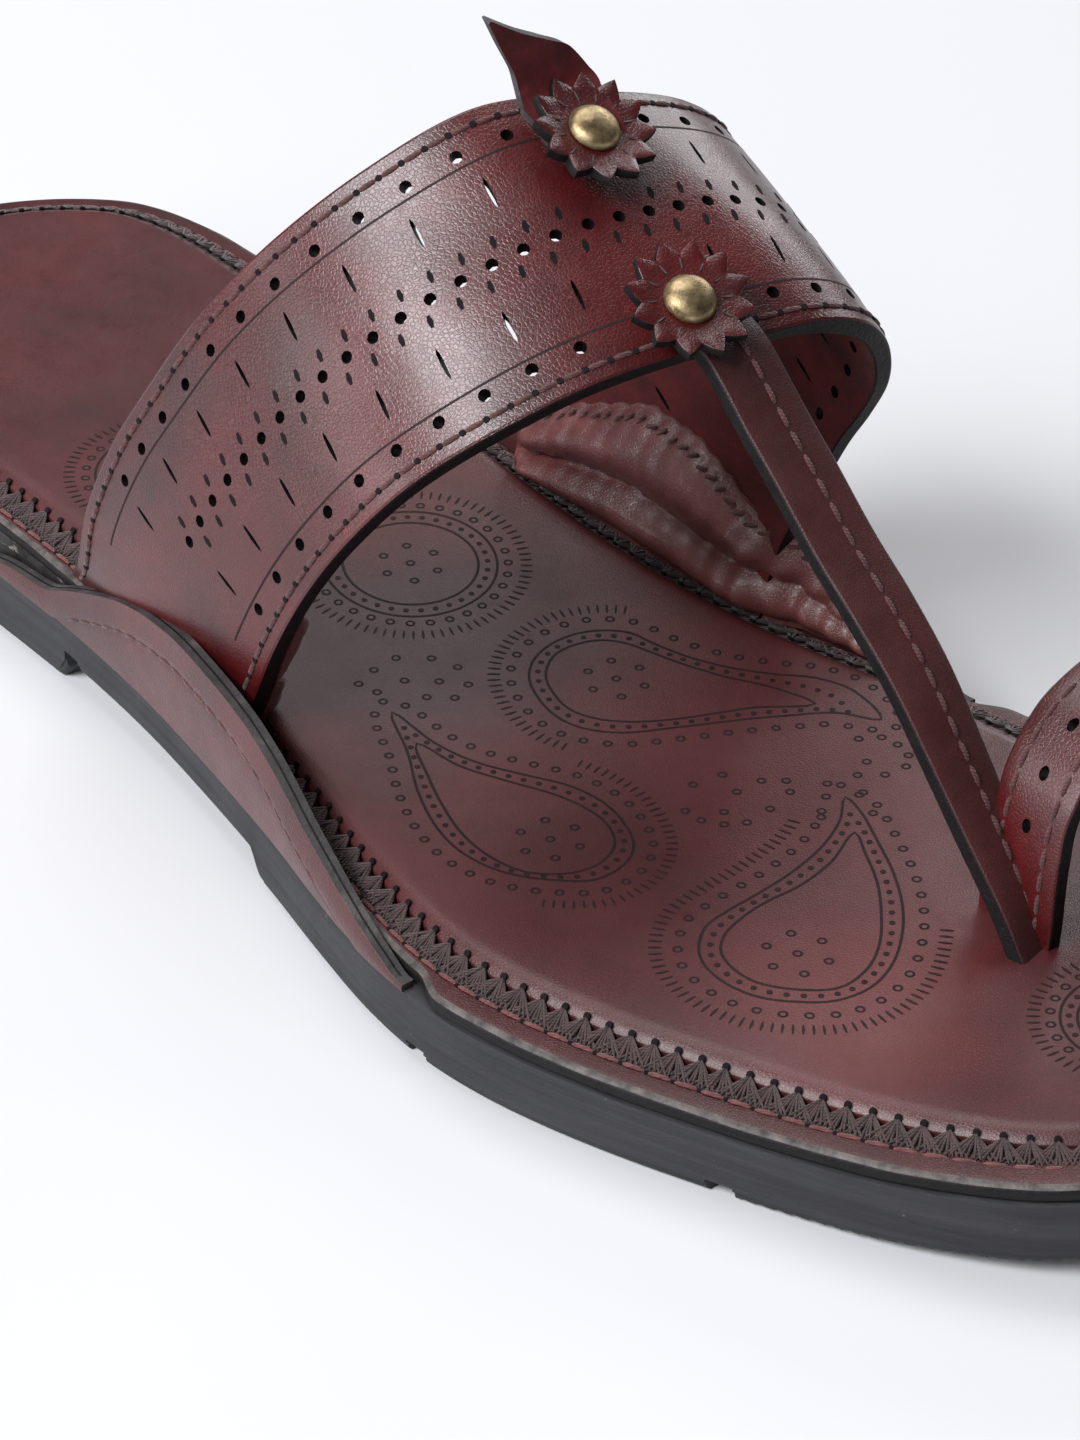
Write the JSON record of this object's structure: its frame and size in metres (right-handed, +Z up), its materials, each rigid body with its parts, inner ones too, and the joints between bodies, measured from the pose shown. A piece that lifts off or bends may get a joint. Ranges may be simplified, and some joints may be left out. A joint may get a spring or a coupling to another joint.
{
  "type": "kolhapuri sandal",
  "caption": "Toe-loop leather sandal with a wide instep band, a narrow toe strap, rivet rosettes, a padded footbed and a low rubber sole.",
  "frame": {"origin": "middle of the bounding box in plan, on the ground under the sole", "axes": "+Z up, -Y towards the toe, +Y towards the heel, +X towards the big-toe side of this right shoe"},
  "size_m": [0.1002, 0.285, 0.1088],
  "materials": {
    "sole_rubber": "charcoal moulded rubber, matt, with a slight sheen on the edge",
    "board_leather": "burgundy grain leather over a board with a dark painted edge",
    "footbed_leather": "burgundy leather, satin, softly padded, with stamped motifs",
    "strap_leather": "burgundy leather, satin, with dark cut edges and stitching",
    "lining_leather": "soft burgundy leather, wrinkled over a thin pad",
    "rivet_brass": "antique brass, brushed and a little dull"
  },
  "bodies": {
    "root": {"outsole": "sole_rubber", "footbed_board": "board_leather", "footbed_pad": "footbed_leather", "upper": "strap_leather", "flap_outer": "strap_leather", "flap_inner": "strap_leather", "lining_outer": "lining_leather", "lining_inner": "lining_leather", "rosette_front": "strap_leather", "rosette_rear": "strap_leather", "leaf_tab": "strap_leather", "rivet_front": "rivet_brass", "rivet_rear": "rivet_brass"}
  },
  "joints": []
}
